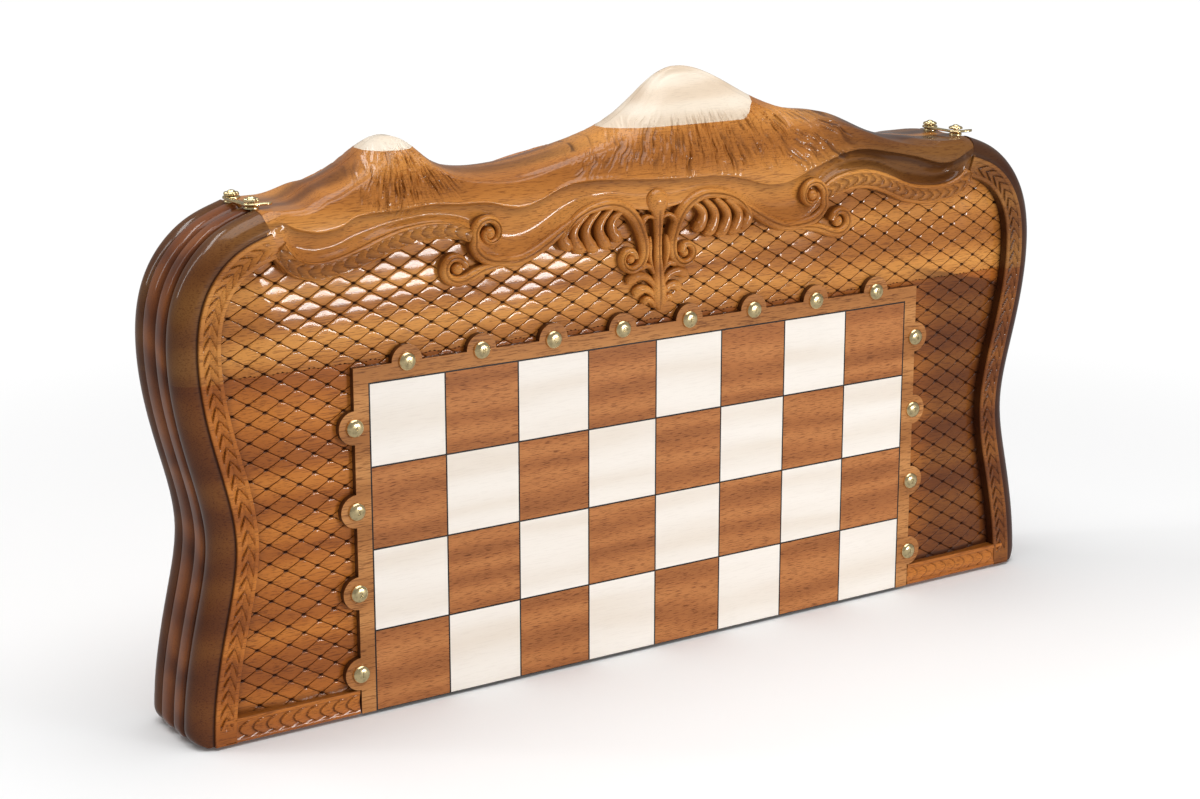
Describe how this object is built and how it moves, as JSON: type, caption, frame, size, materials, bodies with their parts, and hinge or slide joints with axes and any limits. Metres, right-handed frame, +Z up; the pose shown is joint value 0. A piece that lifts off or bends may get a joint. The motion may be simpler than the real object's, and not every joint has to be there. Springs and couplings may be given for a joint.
{
  "type": "folding chess board",
  "caption": "Carved walnut folding chess board and backgammon case in two hinged halves, with brass studs and two hook latches.",
  "frame": {"origin": "middle of the case's length and thickness, at the underside of the hinge knuckles it stands on", "axes": "+X along the length, to the right seen from the front; +Y from the front half to the back half; +Z up to the carved crest"},
  "size_m": [0.633, 0.0764, 0.3651],
  "materials": {
    "carved_wood": "gloss lacquer",
    "panel_wood": "gloss lacquer",
    "field_veneer": "satin lacquer",
    "pale_wood": "gloss lacquer",
    "pale_veneer": "satin lacquer",
    "brown_veneer": "satin lacquer",
    "black_line": "satin lacquer",
    "brass": "polished"
  },
  "bodies": {
    "back_half": {"back_chess_panel": "panel_wood", "back_dark_points": "brown_veneer", "back_dark_squares": "brown_veneer", "back_hinge_leaves": "brass", "back_hinge_rail": "carved_wood", "back_hinge_screws": "brass", "back_large_peak_cap": "pale_wood", "back_left_rail": "carved_wood", "back_light_points": "pale_veneer", "back_light_squares": "pale_veneer", "back_lower_face_board": "carved_wood", "back_playing_board": "field_veneer", "back_right_rail": "carved_wood", "back_small_peak_cap": "pale_wood", "back_stringing": "black_line", "back_studs": "brass", "back_top_rail": "carved_wood", "back_upper_face_board": "carved_wood", "hinge_pins": "brass", "hook_pivots": "brass"},
    "front_half": {"catch_posts": "brass", "front_chess_panel": "panel_wood", "front_dark_points": "brown_veneer", "front_dark_squares": "brown_veneer", "front_hinge_leaves": "brass", "front_hinge_rail": "carved_wood", "front_hinge_screws": "brass", "front_large_peak_cap": "pale_wood", "front_left_rail": "carved_wood", "front_light_points": "pale_veneer", "front_light_squares": "pale_veneer", "front_lower_face_board": "carved_wood", "front_playing_board": "field_veneer", "front_right_rail": "carved_wood", "front_small_peak_cap": "pale_wood", "front_stringing": "black_line", "front_studs": "brass", "front_top_rail": "carved_wood", "front_upper_face_board": "carved_wood"},
    "left_hook": {"left_hook": "brass"},
    "right_hook": {"right_hook": "brass"}
  },
  "joints": [
    {"name": "case_fold", "type": "hinge", "parent": "back_half", "child": "front_half", "pos_m": [0, 0, 0.00175], "axis": [1, 0, 0], "range_deg": [0, 180]},
    {"name": "left_hook_swing", "type": "hinge", "parent": "back_half", "child": "left_hook", "pos_m": [-0.259, 0.013, 0.309], "axis": [0, 0, -1], "range_deg": [0, 100]},
    {"name": "right_hook_swing", "type": "hinge", "parent": "back_half", "child": "right_hook", "pos_m": [0.259, 0.013, 0.309], "axis": [0, 0, -1], "range_deg": [0, 100]}
  ]
}
